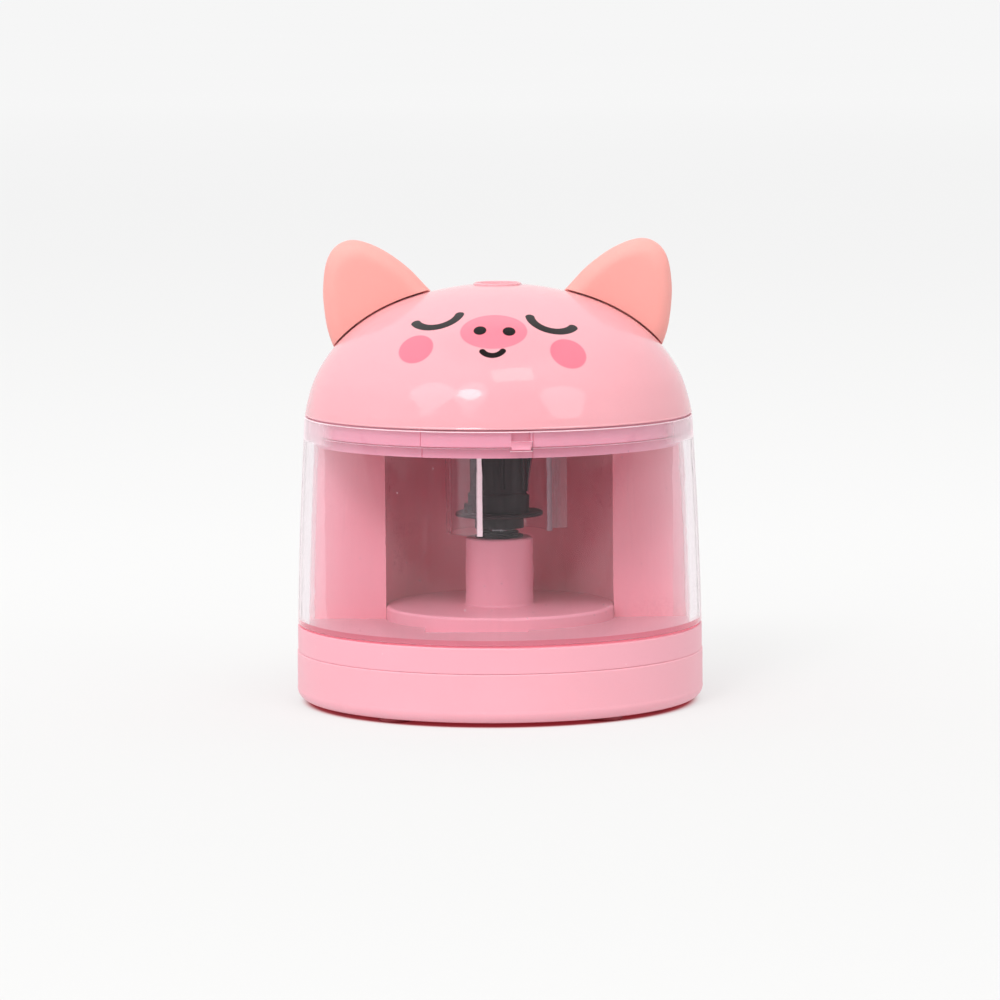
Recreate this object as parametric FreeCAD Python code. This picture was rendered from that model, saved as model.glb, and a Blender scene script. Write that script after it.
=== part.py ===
import FreeCAD, Part
import math
import os

V = FreeCAD.Vector
os.makedirs("parts", exist_ok=True)

# Desktop pencil sharpener, battery powered, shaped as an animal head.
# Frame: +Z up, front faces -Y, origin on the resting surface under the centre of the body.
# All lengths in millimetres. The cutter axis is the Z axis.

# ------------------------------------------------------------------ driving dimensions
R_TRAY = 43.55          # lower base tray, outer radius
R_DECK = 43.4           # base deck ring, outer radius
Z_BASE = 1.0            # underside of the tray, above the feet
Z_SEAM = 11.4           # seam between tray and deck ring
Z_DECK = 16.8           # top of the deck ring
Z_RIM = 61.8            # rim of the dome
Z_TOP = 89.5           # top of the dome on the axis
R_RIM = 41.45           # dome radius at the rim
BODY_ARC = ((43.4, 16.8), (42.8, 36.5), (41.45, 61.7))   # (radius, height) on the outer skin of tank and rear shell
T_SHELL = 1.6           # rear shell wall
T_DOME = 1.8            # dome wall
Y_PANEL = 3.0           # front edge of the rear shell
Y_FACE = -3.0           # front face of the inner panels
T_PANEL = 1.4
X_PANEL = 37.2          # flat part of the panel ends here
X_STRIP = 40.9          # slanted strip ends here, at the front edge of the rear shell
R_CHAMBER = 24.45       # cutter chamber and platform
T_CHAMBER = 0.9
Z_PLATFORM = 20.7
R_POST = 7.35
Z_POST = 35.1
# tank
GAP = 0.3               # free gap between bodies
T_TANK = 2.4
Z_TANK0 = 17.1
Z_TANK1 = 61.45
Z_LEDGE = 57.9          # inside ledge under the thin top band
R_BAND = 40.8           # inside radius of the thin top band
R_TANK_IN_TOP = 39.4
T_TANK_FLOOR = 1.0
TANK_TRAVEL = 45.0
# collar
R_STEP = 40.35          # outer step of the collar
R_SKIRT = 39.05         # inner skirt of the collar
Z_SKIRT = 55.8
Z_ROOF = 60.0
Z_COLLAR = 61.6
# cutter
PLUNGE = 1.2
R_HOLDER = 6.17
R_HOLDER_LOW = 6.6
R_FLANGE = 9.4
R_NECK = 5.2
R_GUARD = 11.4
T_GUARD = 1.1
Z_GUARD = 36.3
# pencil opening
R_BORE = 4.35
R_GUIDE = 5.15
Z_GUIDE = 89.8
# shaft and gears
R_SHAFT = 2.0
MOD = 0.6
N_FINAL, N_COMP_SMALL, N_COMP_BIG, N_PINION = 54, 12, 36, 10
MOTOR_ANGLE = 28.0
MOTOR_R = 33.0
Z_MOTOR = 15.2
MOTOR_LEN = 25.0
MOTOR_FLAT, MOTOR_ROUND = 15.1, 20.1
# cells
CELL_X, CELL_Y, CELL_R, CELL_LEN = 7.6, 31.95, 7.2, 49.5
Z_CELL = 4.9


# ------------------------------------------------------------------ helpers
def cyl(r, z0, z1, x=0.0, y=0.0):
    return Part.makeCylinder(r, z1 - z0, V(x, y, z0))


def tube(ro, ri, z0, z1, x=0.0, y=0.0):
    return cyl(ro, z0, z1, x, y).cut(cyl(ri, z0 - 1, z1 + 1, x, y))


def box(x0, x1, y0, y1, z0, z1):
    return Part.makeBox(x1 - x0, y1 - y0, z1 - z0, V(x0, y0, z0))


def profile(start, *segs):
    """Closed face in the XZ plane from straight runs (r, z), three-point arcs ((rm, zm), (r, z)) and ready edges."""
    edges, at = [], start
    for s in segs:
        if isinstance(s, Part.Shape):
            edges.append(s)
            last = s.Vertexes[-1].Point
            at = (last.x, last.z)
        elif isinstance(s[0], tuple):
            m, e = s
            edges.append(Part.Arc(V(at[0], 0, at[1]), V(m[0], 0, m[1]), V(e[0], 0, e[1])).toShape())
            at = e
        else:
            edges.append(Part.makeLine(V(at[0], 0, at[1]), V(s[0], 0, s[1])))
            at = s
    if math.hypot(at[0] - start[0], at[1] - start[1]) > 1e-7:
        edges.append(Part.makeLine(V(at[0], 0, at[1]), V(start[0], 0, start[1])))
    return Part.Face(Part.Wire(edges))


def spin(face, angle=360.0):
    return face.revolve(V(0, 0, 0), V(0, 0, 1), angle)


def turned(*points_or_segs):
    return spin(profile(*points_or_segs))


def prism(points, z0, z1):
    pts = [V(x, y, z0) for x, y in points]
    return Part.Face(Part.makePolygon(pts + [pts[0]])).extrude(V(0, 0, z1 - z0))


def sector(r, a0, a1, z0, z1, n=24):
    """Pie slice about the axis, angles in degrees from +X."""
    pts = [(0.0, 0.0)] + [
        (r * math.cos(math.radians(a0 + (a1 - a0) * i / n)), r * math.sin(math.radians(a0 + (a1 - a0) * i / n)))
        for i in range(n + 1)
    ]
    return prism(pts, z0, z1)


def fuse(*shapes):
    s = shapes[0]
    rest = [t for t in shapes[1:]]
    if rest:
        s = s.multiFuse(rest)
    return s.removeSplitter()


def cut(s, *tools):
    for t in tools:
        s = s.cut(t)
    return s


def keep_solid(s):
    """The largest solid of a shape as a plain solid."""
    return max(s.Solids, key=lambda k: k.Volume)


def group(*solids):
    out = []
    for s in solids:
        out += s.Solids
    return Part.makeCompound(out)


done = {}


def export(name, shape, single=True):
    if single:
        extra = [k for k in shape.Solids if k.Volume > 1e-3]
        if len(extra) != 1:
            for k in extra:
                c = k.BoundBox
                print("NOTE", name, "solid", round(k.Volume, 3), [round(v, 2) for v in (c.XMin, c.XMax, c.YMin, c.YMax, c.ZMin, c.ZMax)])
        shape = keep_solid(shape)
    if not shape.isValid():
        shape = shape.copy()
        shape.fix(1e-4, 1e-4, 1e-3)
        print("NOTE", name, "fixed, valid:", shape.isValid())
    done[name] = shape
    shape.exportStep("parts/" + name + ".step")


def circle_through(p, q, s):
    (x1, y1), (x2, y2), (x3, y3) = p, q, s
    a = 2 * (x2 - x1)
    b = 2 * (y2 - y1)
    c = x2 * x2 + y2 * y2 - x1 * x1 - y1 * y1
    d = 2 * (x3 - x2)
    e = 2 * (y3 - y2)
    f = x3 * x3 + y3 * y3 - x2 * x2 - y2 * y2
    den = a * e - b * d
    cx = (c * e - b * f) / den
    cy = (a * f - c * d) / den
    return cx, cy, math.hypot(x1 - cx, y1 - cy)


ARC_X, ARC_Z, ARC_R = circle_through(*BODY_ARC)


def r_out(z, inset=0.0):
    """Outer skin radius of tank and rear shell at height z, or that of a skin inset by a wall."""
    rr = ARC_R - inset
    return ARC_X + math.sqrt(rr * rr - (z - ARC_Z) ** 2)


def skin_arc(z0, z1, inset=0.0):
    zm = (z0 + z1) / 2
    return ((r_out(zm, inset), zm), (r_out(z1, inset), z1))


def skin_solid(z0, z1, inset=0.0):
    """Full solid of revolution inside the outer skin."""
    return turned((0, z0), (r_out(z0, inset), z0), skin_arc(z0, z1, inset), (0, z1))


def pan_screw(x, y, z_seat, length, r_head, h_head, r_shank, up=True, r_tip=0.35):
    """Pan-head screw with a cross recess. z_seat is the bearing face of the head; up means that the shank points up."""
    s = 1.0 if up else -1.0
    pts = [
        (0, z_seat + s * length),
        (r_shank * r_tip, z_seat + s * length),
        (r_shank, z_seat + s * (length - 1.4)),
        (r_shank, z_seat),
        (r_head, z_seat),
        (r_head, z_seat - s * h_head * 0.55),
    ]
    edges_face = profile(
        pts[0], pts[1], pts[2], pts[3], pts[4], pts[5],
        ((r_head * 0.78, z_seat - s * h_head * 0.9), (r_head * 0.45, z_seat - s * h_head)),
        (0, z_seat - s * h_head),
    )
    body = spin(edges_face)
    top = z_seat - s * h_head
    d = 0.7 * h_head
    z0, z1 = (top, top + d) if up else (top - d, top)
    w, l = 0.16 * r_head, 0.62 * r_head
    cross = box(-l, l, -w, w, z0 - 0.001 * 0, z1).fuse(box(-w, w, -l, l, z0, z1))
    body = body.cut(cross)
    body.translate(V(x, y, 0))
    return body


def gear(n, m, z0, z1, phase, backlash=0.12, alpha=25.0, add=0.9, ded=1.2, steps=3):
    """Involute spur gear blank with teeth; phase is the angle of one tooth's centre in radians."""
    a = math.radians(alpha)
    r = m * n / 2.0
    rb = r * math.cos(a)
    ra = r + add * m
    rf = r - ded * m
    half = math.pi / (2 * n) - backlash / (2 * r)
    inv_a = math.tan(a) - a

    def ang(q):
        if q <= rb:
            return half + inv_a
        b = math.acos(rb / q)
        return half + inv_a - (math.tan(b) - b)

    radii = []
    if rb > rf:
        radii.append(rf)
    lo = max(rb, rf)
    for i in range(steps + 1):
        radii.append(lo + (ra - lo) * i / steps)
    pts = []
    for k in range(n):
        c = phase + 2 * math.pi * k / n
        for q in radii:
            pts.append((q * math.cos(c - ang(q)), q * math.sin(c - ang(q))))
        for q in reversed(radii):
            pts.append((q * math.cos(c + ang(q)), q * math.sin(c + ang(q))))
    return prism(pts, z0, z1)


def coil(r, wire, z0, z1, turns, x=0.0, y=0.0, r_top=None):
    """Round-wire compression spring between z0 and z1, outer faces included."""
    pitch = (z1 - z0 - 2 * wire) / turns
    h = z1 - z0 - 2 * wire
    if r_top is None or abs(r_top - r) < 1e-6:
        helix = Part.makeHelix(pitch, h, r)
    else:
        helix = Part.makeHelix(pitch, h, r, math.degrees(math.atan2(r_top - r, h)))
    circ = Part.Wire([Part.Circle(V(r, 0, 0), V(0, 1, 0), wire).toShape()])
    s = Part.Wire(helix.Edges).makePipeShell([circ], True, True)
    s.translate(V(x, y, z0 + wire))
    return s


# ------------------------------------------------------------------ base tray
tray_outer = turned(
    (0, Z_BASE), (42.0, Z_BASE), ((43.1, 1.75), (R_TRAY, 3.6)), (R_TRAY, Z_SEAM - 0.35),
    (R_TRAY - 0.3, Z_SEAM - 0.05), (0, Z_SEAM - 0.05),
)
tray_cavity = turned((0, 2.8), (39.6, 2.8), ((41.2, 3.6), (41.8, 5.4)), (41.8, Z_SEAM + 1), (0, Z_SEAM + 1))
base_tray = tray_outer.cut(tray_cavity)
BASE_SCREWS = [(-31.6, -20.2), (31.6, -20.2), (-36.2, 9.6), (36.2, 9.6)]
FEET = [(-21.8, -30.4), (21.8, -30.4), (-24.6, 29.6), (24.6, 29.6)]
tray_add, tray_sub = [], []
for x, y in BASE_SCREWS:
    tray_add.append(cyl(3.6, 2.4, 7.3, x, y))
    tray_sub.append(cyl(2.75, Z_BASE - 1, 5.0, x, y))
    tray_sub.append(cyl(1.45, 4.0, 8.0, x, y))
for x, y in FEET:
    tray_sub.append(cyl(4.0, Z_BASE - 1, Z_BASE + 0.7, x, y))
# locating ribs round the floor edge, and a low wall round the battery opening
for a in (-120, -90, -60, 180, 0):
    c, s = math.cos(math.radians(a)), math.sin(math.radians(a))
    rib = box(37.2, 41.9, -0.5, 0.5, 2.5, 9.8)
    rib.rotate(V(0, 0, 0), V(0, 0, 1), a)
    tray_add.append(rib)
base_tray = fuse(base_tray, *[t.common(tray_outer) for t in tray_add])
base_tray = cut(base_tray, *tray_sub)
# battery door opening through the floor and the foot of the rear wall
DOOR_X, DOOR_Y, DOOR_Z = 17.0, 22.8, 5.0
opening = box(-DOOR_X - GAP, DOOR_X + GAP, DOOR_Y - GAP, 60, Z_BASE - 1, DOOR_Z + GAP)
base_tray = base_tray.cut(opening)
export("base_tray", base_tray)

# ------------------------------------------------------------------ battery door
door_block = box(-DOOR_X, DOOR_X, DOOR_Y, 60, 0, DOOR_Z)
door_skin = tray_outer.common(door_block)
door_hollow = turned((0, 2.6), (39.4, 2.6), ((41.0, 3.4), (41.75, 5.4)), (41.75, 9), (0, 9))
battery_door = door_skin.cut(door_hollow)
tabs = [box(x - 2.6, x + 2.6, DOOR_Y - 3.4, DOOR_Y + 1.5, 3.15, 4.15).fuse(box(x - 2.6, x + 2.6, DOOR_Y, DOOR_Y + 1.5, 2.4, 4.15)) for x in (-13.6, 13.6)]
battery_door = fuse(battery_door, *tabs)
for i in range(4):
    battery_door = battery_door.cut(box(-6.5, 6.5, 35.6 + 1.3 * i, 36.2 + 1.3 * i, 0.5, 1.45))
export("battery_door", battery_door)

# ------------------------------------------------------------------ rubber feet
feet = []
for x, y in FEET:
    f = spin(profile((0, 0), (3.3, 0), ((3.7, 0.12), (3.85, 0.5)), (3.9, 1.68), (0, 1.68)))
    f.translate(V(x, y, 0))
    feet.append(f)
export("rubber_feet", group(*feet), single=False)

# ------------------------------------------------------------------ base deck: ring, floor, round platform and hollow post
ring = turned((0, Z_SEAM), (R_DECK, Z_SEAM), (R_DECK, Z_DECK - 0.35), ((R_DECK - 0.1, Z_DECK - 0.1), (R_DECK - 0.35, Z_DECK)), (0, Z_DECK))
under = turned((0, Z_SEAM - 2), (41.5, Z_SEAM - 2), (41.5, 15.2), (0, 15.2))
deck = ring.cut(under)
# inner lip that centres the tray
lip = tube(41.5, 40.2, Z_SEAM - 1.6, 15.4)
lip = lip.cut(box(-DOOR_X - 2, DOOR_X + 2, 20, 60, 0, 20))
platform = turned(
    (0, Z_DECK - 0.8), (R_CHAMBER, Z_DECK - 0.8), (R_CHAMBER, Z_PLATFORM - 0.6),
    ((R_CHAMBER - 0.18, Z_PLATFORM - 0.18), (R_CHAMBER - 0.6, Z_PLATFORM)),
    (R_POST + 0.5, Z_PLATFORM), ((R_POST + 0.15, Z_PLATFORM + 0.15), (R_POST, Z_PLATFORM + 0.5)),
    (R_POST - 0.08, Z_POST - 0.3), (R_POST - 0.35, Z_POST), (0, Z_POST),
)
SLOT = [(-CELL_X, CELL_Y), (CELL_X, CELL_Y)]
R_SLOT = CELL_R + 0.3


def stadium(r, z0, z1):
    return fuse(cyl(r, z0, z1, -CELL_X, CELL_Y), cyl(r, z0, z1, CELL_X, CELL_Y), box(-CELL_X, CELL_X, CELL_Y - r, CELL_Y + r, z0, z1))


inner_disc = cyl(41.4, 5.9, 15.3)
sleeve = stadium(R_SLOT + 1.0, 6.3, 15.3).common(inner_disc)
hollow = cyl(R_CHAMBER - 1.6, 12.0, 19.1)
bush_boss = cyl(6.3, 15.1, 19.4)
deck = fuse(deck, platform).cut(hollow)
deck_add = [lip, sleeve, bush_boss]
for x, y in BASE_SCREWS:
    deck_add.append(cyl(3.0, 7.5, 15.4, x, y))
mx = MOTOR_R * math.cos(math.radians(MOTOR_ANGLE))
my = MOTOR_R * math.sin(math.radians(MOTOR_ANGLE))
comp_r = MOD * (N_FINAL + N_COMP_SMALL) / 2.0
comp_m = MOD * (N_COMP_BIG + N_PINION) / 2.0
cos_a = (comp_r ** 2 + MOTOR_R ** 2 - comp_m ** 2) / (2 * comp_r * MOTOR_R)
comp_ang = MOTOR_ANGLE - math.degrees(math.acos(cos_a))
gx = comp_r * math.cos(math.radians(comp_ang))
gy = comp_r * math.sin(math.radians(comp_ang))
print("motor axis", round(mx, 4), round(my, 4), "compound axis", round(gx, 4), round(gy, 4))


def motor_shape(z0, z1, grow=0.0):
    s = cyl(MOTOR_ROUND / 2 + grow, z0, z1).common(
        box(-MOTOR_FLAT / 2 - grow, MOTOR_FLAT / 2 + grow, -20, 20, z0, z1))
    s.rotate(V(0, 0, 0), V(0, 0, 1), MOTOR_ANGLE)
    s.translate(V(mx, my, 0))
    return s


deck_add.append(motor_shape(13.7, 15.3, 1.2).common(cyl(41.4, 0, 30)))
# bosses for the gearbox plate screws
PLATE_SCREWS = [(-18.2, 9.8), (4.0, -20.0), (8.0, 18.6)]
for x, y in PLATE_SCREWS:
    deck_add.append(cyl(2.6, 7.0, 19.3, x, y))
# boss for the compound gear axle
deck_add.append(cyl(2.6, 13.9, 19.3, gx, gy))
deck = fuse(deck, *deck_add)
HOUSING_SCREWS = [(19.7, 29.4), (-19.7, 29.4), (-31.8, 15.5)]
deck_sub = [
    stadium(R_SLOT, 5, 20),
    motor_shape(Z_MOTOR, 30, 0.15),
    cyl(3.4, 12, 20, mx, my),
    cyl(4.5, 14.9, 19.7),
    cyl(2.6, 14.9, 40),
    cyl(5.2, 21.3, 31.0),
    cyl(3.25, 30.0, 40),
    cyl(1.02, 12, 16.4, gx, gy),
]
for x, y in BASE_SCREWS:
    deck_sub.append(cyl(1.42, 7.0, 14.2, x, y))
for x, y in PLATE_SCREWS:
    deck_sub.append(cyl(0.92, 6.0, 13.6, x, y))
for x, y in HOUSING_SCREWS:
    deck_sub.append(cyl(1.45, 14, 18, x, y))
deck = cut(deck, *deck_sub)
export("base_deck", deck)

# ------------------------------------------------------------------ rear housing: outer shell, inner panels, round chamber wall
Z_HTOP = 61.7
behind = box(-60, 60, Y_PANEL, 60, 0, 80)
shell = skin_solid(Z_DECK, Z_HTOP).cut(
    turned((0, Z_DECK - 1), (r_out(Z_DECK, T_SHELL), Z_DECK - 1), (r_out(Z_DECK, T_SHELL), Z_DECK),
           skin_arc(Z_DECK, Z_ROOF - 0.1, T_SHELL), (R_STEP + 0.2, Z_ROOF - 0.1), (R_STEP + 0.2, Z_HTOP + 1), (0, Z_HTOP + 1)))
shell = shell.common(behind)
inner_skin = skin_solid(Z_DECK, Z_ROOF, T_SHELL * 0.5)
# panel, then a strip that slants back along the tank's inner wall and joins the shell
tank_room = fuse(skin_solid(Z_DECK, Z_ROOF, T_TANK + 0.4).cut(tube(60, R_SKIRT - 1.65, Z_SKIRT - 0.1, 70)), behind)
behind_face = box(-60, 60, Y_FACE, 60, 0, 80)
panels = []
for s in (-1, 1):
    pts = [
        (s * (R_CHAMBER - 0.6), Y_FACE), (s * X_PANEL, Y_FACE), (s * X_STRIP, Y_PANEL), (s * 43.1, Y_PANEL), (s * 43.1, Y_PANEL + T_PANEL),
        (s * (X_STRIP - 2.2), Y_PANEL + T_PANEL), (s * (X_PANEL - 1.0), Y_FACE + T_PANEL), (s * (R_CHAMBER - 0.6), Y_FACE + T_PANEL),
    ]
    panels.append(prism(pts, Z_DECK, Z_ROOF).common(inner_skin).common(tank_room))
chamber_out = cyl(R_CHAMBER + T_CHAMBER, Z_DECK, Z_ROOF).common(behind_face)
rib_l = box(-16.4, -15.5, 18, 45, Z_DECK, 57.4).common(inner_skin)
rib_r = box(15.5, 16.4, 18, 45, Z_DECK, 57.4).common(inner_skin)
roof = sector(60, 57.0, 123.0, 56.4, 57.6).common(inner_skin).common(box(-16.4, 16.4, 0, 60, 50, 60))
shelf = fuse(
    sector(60, 8.0, 13.6, 40.35, 41.7), sector(60, 42.4, 48.0, 40.35, 41.7)).common(inner_skin).common(behind)
bosses = []
for x, y in HOUSING_SCREWS:
    bosses.append(cyl(2.7, Z_DECK, Z_ROOF, x, y))
    a = math.degrees(math.atan2(y, x))
    web = box(30, 45, -0.5, 0.5, Z_DECK, Z_ROOF)
    web.rotate(V(0, 0, 0), V(0, 0, 1), a)
    bosses.append(web.common(inner_skin))
housing = fuse(shell, *panels, chamber_out, rib_l, rib_r, roof, shelf, *bosses)
house_sub = [cyl(R_CHAMBER + 0.06, Z_DECK - 1, Z_ROOF + 1), motor_shape(Z_DECK - 1, Z_MOTOR + MOTOR_LEN + 0.1, 0.12), stadium(R_SLOT, Z_DECK - 1, 56.4)]
for x, y in HOUSING_SCREWS:
    house_sub.append(cyl(1.27, Z_DECK - 1, Z_DECK + 9.5, x, y))
    house_sub.append(cyl(1.27, Z_ROOF - 9.5, Z_ROOF + 1, x, y))
housing = cut(housing, *house_sub)
export("rear_housing", housing)

# ------------------------------------------------------------------ collar under the dome: roof plate, stepped skirt, cutter bearing boss
ahead = box(-60, 60, -60, Y_PANEL - 0.3, 0, 80)
plate = cyl(R_STEP, Z_ROOF, Z_COLLAR)
step_ring = tube(R_STEP, R_SKIRT - 1.5, Z_LEDGE + 0.3, Z_ROOF + 0.2).common(ahead)
skirt = tube(R_SKIRT, R_SKIRT - 1.5, Z_SKIRT, Z_ROOF + 0.2).common(ahead)
centring = tube(39.05, 38.0, Z_COLLAR - 0.2, Z_COLLAR + 1.6)
bearing = tube(8.5, 6.28, 57.2, Z_ROOF + 0.2)
seat_ring = tube(12.9, R_GUARD + 0.06, 58.2, Z_ROOF + 0.2)
# slightly raised front section with a small latch nub
A0, A1 = -90.0 - 23.1, -90.0 + 9.85
raised = tube(R_STEP + 0.18, R_SKIRT - 0.5, Z_LEDGE + 0.3, Z_COLLAR - 0.05).common(sector(60, A0, A1, 50, 70))
raised_low = tube(R_SKIRT + 0.12, R_SKIRT - 0.5, Z_SKIRT, Z_LEDGE + 0.4).common(sector(60, A0, A1, 50, 70))
nub = tube(R_STEP + 0.42, R_SKIRT - 0.5, 57.65, 59.1).common(sector(60, A1 - 6.1, A1 - 0.5, 50, 70))
collar = fuse(plate, step_ring, skirt, centring, bearing, seat_ring, raised, raised_low, nub)
DOME_SCREWS = [(0.0, 31.0), (-26.8, -15.5), (26.8, -15.5)]
col_sub = [cyl(6.28, 50, 70)]
for x, y in HOUSING_SCREWS:
    col_sub.append(cyl(1.5, 55, 65, x, y))
for x, y in DOME_SCREWS:
    col_sub.append(cyl(1.5, 55, 65, x, y))
# opening in the seat ring for the guard's fin
col_sub.append(box(10.5, 14.9, -1.0, 3.2, 58.0, Z_ROOF))
# fine grooves at both ends of the latch section
for a in (A0 - 0.3, A1 + 0.3):
    for r_in, z0, z1 in ((R_SKIRT - 0.22, Z_SKIRT - 1, Z_LEDGE + 0.3), (R_STEP - 0.2, Z_LEDGE + 0.3, Z_COLLAR + 1)):
        g = box(r_in, 50, -0.12, 0.12, z0, z1)
        g.rotate(V(0, 0, 0), V(0, 0, 1), a)
        col_sub.append(g)
# shallow recess over the nub
col_sub.append(tube(50, R_STEP - 0.7, 59.25, 61.2).common(sector(60, A1 - 6.1, A1 - 0.5, 50, 70)))
collar = cut(collar, *col_sub)
export("top_collar", collar)

# ------------------------------------------------------------------ dome
DOME_PTS = [(0.0, Z_TOP), (5.6, 89.3), (10.7, 88.6), (15.8, 87.5), (21.3, 85.7), (26.4, 83.25), (31.0, 80.1), (35.1, 76.1), (37.95, 72.1), (39.75, 68.4), (40.8, 64.9), (41.33, 62.35)]


def dome_edge(inset=0.0):
    """Outer dome curve from the axis down to the rim, or the same curve inset by the wall."""
    pts = []
    for i, (r, z) in enumerate(DOME_PTS):
        if inset:
            a = DOME_PTS[max(i - 1, 0)]
            b = DOME_PTS[min(i + 1, len(DOME_PTS) - 1)]
            tx, tz = b[0] - a[0], b[1] - a[1]
            n = math.hypot(tx, tz)
            r, z = (r + inset * tz / n, z - inset * tx / n) if i else (0.0, z - inset)
        pts.append(V(max(r, 0.0), 0, z))
    curve = Part.BSplineCurve()
    curve.interpolate(Points=pts, InitialTangent=V(1, 0, 0), FinalTangent=V(0.14, 0, -1))
    return curve.toShape(), pts[-1]


edge_o, end_o = dome_edge()
dome_solid = spin(Part.Face(Part.Wire([
    edge_o,
    Part.makeLine(end_o, V(R_RIM, 0, Z_RIM + 0.25)),
    Part.makeLine(V(R_RIM, 0, Z_RIM + 0.25), V(R_RIM - 0.2, 0, Z_RIM)),
    Part.makeLine(V(R_RIM - 0.2, 0, Z_RIM), V(0, 0, Z_RIM)),
    Part.makeLine(V(0, 0, Z_RIM), V(0, 0, DOME_PTS[0][1])),
])))
edge_i, end_i = dome_edge(T_DOME)
dome_core = spin(Part.Face(Part.Wire([
    edge_i,
    Part.makeLine(end_i, V(R_RIM - T_DOME, 0, Z_RIM - 1)),
    Part.makeLine(V(R_RIM - T_DOME, 0, Z_RIM - 1), V(0, 0, Z_RIM - 1)),
    Part.makeLine(V(0, 0, Z_RIM - 1), V(0, 0, DOME_PTS[0][1] - T_DOME)),
])))
dome = dome_solid.cut(dome_core)
posts = []
for x, y in DOME_SCREWS:
    posts.append(cyl(3.0, Z_COLLAR + 0.05, 86, x, y).common(dome_solid))
guide_ring = tube(R_GUIDE + 1.3, R_GUIDE + 0.05, 84.0, 88.8).common(dome_solid)
dome = fuse(dome, *posts, guide_ring)
dome_sub = [cyl(R_GUIDE + 0.06, 60, 95)]
for x, y in DOME_SCREWS:
    dome_sub.append(cyl(1.27, 60, 71.5, x, y))


# ------------------------------------------------------------------ ears: closed pillows standing on the dome, each with a tab in a slot
EAR_FRONT, EAR_THICK = 0.9, 7.0
EAR_OUT = [(-34.0, 73.5), (-35.5, 76.7), (-36.6, 80.2), (-37.15, 83.8), (-37.42, 87.5), (-37.2, 91.3), (-36.55, 94.6), (-34.9, 97.4), (-31.6, 99.0), (-28.2, 98.5), (-24.6, 96.9), (-21.2, 94.65), (-18.2, 92.1), (-15.5, 89.2), (-12.4, 85.2), (-20.0, 78.0), (-28.0, 72.0)]


def ear_section(grow, y, sx):
    """Ear outline scaled about its middle and placed at depth y."""
    cx, cz = -27.2, 86.4
    wx, wz = 11.6, 12.8
    pts = []
    for x, z in EAR_OUT:
        fx = (wx + grow) / wx
        fz = (wz + grow) / wz
        pts.append(V(-sx * (cx + (x - cx) * fx), y, cz + (z - cz) * fz - 0.25))
    c = Part.BSplineCurve()
    c.interpolate(Points=pts, PeriodicFlag=True)
    return Part.Wire([c.toShape()])


def ear(sx):
    y0, t = EAR_FRONT, EAR_THICK
    rows = [(-4.2, 0.0), (-2.9, 0.16), (-1.8, 0.62), (-0.9, 1.35), (-0.3, 2.25), (0.0, 3.4), (-0.1, 4.5), (-0.7, 5.7), (-1.8, 6.6), (-3.2, 7.0)]
    wires = [ear_section(g, y0 + t * f / 7.0, sx) for g, f in rows]
    body = Part.makeLoft(wires, True, False)
    body = keep_solid(body)
    if body.Volume < 0:
        body.reverse()
    return body


EAR_GAP = 0.34


def grown_dome(gap):
    """Dome outline grown by a gap, as a full solid."""
    edge, end = dome_edge(-gap)
    return spin(Part.Face(Part.Wire([
        edge,
        Part.makeLine(end, V(R_RIM, 0, Z_RIM - 2)),
        Part.makeLine(V(R_RIM, 0, Z_RIM - 2), V(0, 0, Z_RIM - 2)),
        Part.makeLine(V(0, 0, Z_RIM - 2), V(0, 0, DOME_PTS[0][1] + gap)),
    ])))


# the ear's foot is stepped: a fine shadow gap in front, and nearly closed behind it
dome_grown = grown_dome(0.05).fuse(grown_dome(EAR_GAP).common(box(-60, 60, -10, EAR_FRONT + 2.6, 50, 120)))


def ear_tab(sx, grow=0.0):
    """Flat tab at the foot of the ear, square to the dome's slope there."""
    t = box(-4.5 - grow, 4.5 + grow, -1.6 - grow, 1.6 + grow, -4.2 - grow, 4.0)
    t.rotate(V(0, 0, 0), V(0, 1, 0), sx * 37.0)
    t.translate(V(sx * 26.6, EAR_FRONT + EAR_THICK / 2, 83.4))
    return t


ears = {}
for sx, name in ((-1, "left_ear"), (1, "right_ear")):
    e = ear(sx).cut(dome_grown)
    e = keep_solid(e)
    tab = ear_tab(sx)
    e = fuse(e, tab)
    ears[name] = keep_solid(e)
    dome_sub.append(ear_tab(sx, 0.08))
dome = cut(dome, *dome_sub)
for name in ears:
    c = ears[name].common(dome)
    print(name, "volume", round(ears[name].Volume, 1), "overlap with dome", round(c.Volume, 4))
export("top_dome", dome)
export("left_ear", ears["left_ear"])
export("right_ear", ears["right_ear"])

# ------------------------------------------------------------------ pencil guide
guide = turned(
    (R_BORE, Z_COLLAR + 0.05), (8.0, Z_COLLAR + 0.05), (8.0, 63.2), (R_GUIDE, 63.6), (R_GUIDE, Z_GUIDE - 0.45),
    ((R_GUIDE - 0.13, Z_GUIDE - 0.13), (R_GUIDE - 0.4, Z_GUIDE)), ((R_BORE + 0.22, Z_GUIDE - 0.1), (R_BORE + 0.1, Z_GUIDE - 0.9)), (R_BORE, Z_GUIDE - 2.2),
)
export("pencil_guide", guide)

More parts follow.
